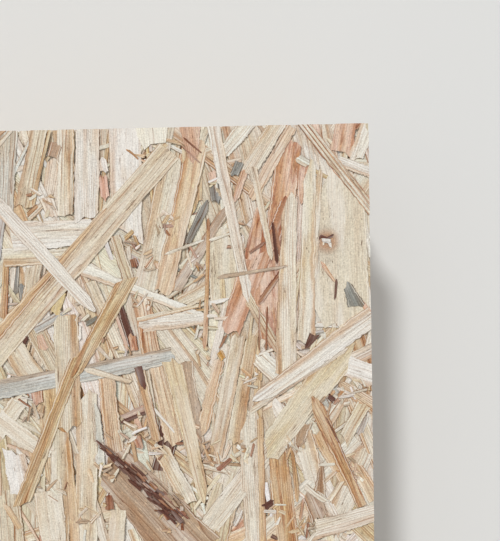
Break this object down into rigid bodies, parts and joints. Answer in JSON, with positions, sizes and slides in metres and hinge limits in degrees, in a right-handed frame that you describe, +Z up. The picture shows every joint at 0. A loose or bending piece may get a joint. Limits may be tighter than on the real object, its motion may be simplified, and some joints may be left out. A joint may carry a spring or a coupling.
{
  "type": "stack of osb panels",
  "caption": "Low stack of full-size oriented strand board sheets lying flat, sawn edges, each sheet slightly out of line.",
  "frame": {"origin": "on the ground, under the middle of the stack's bounding box", "axes": "+Z up through the panels, +Y along their length, +X across their width"},
  "size_m": [1.2252, 2.4454, 0.108],
  "materials": {
    "osb": "pressed wood strands, bare"
  },
  "bodies": {
    "root": {"panel_1": "osb", "panel_2": "osb", "panel_3": "osb", "panel_4": "osb", "panel_5": "osb", "panel_6": "osb"}
  },
  "joints": []
}
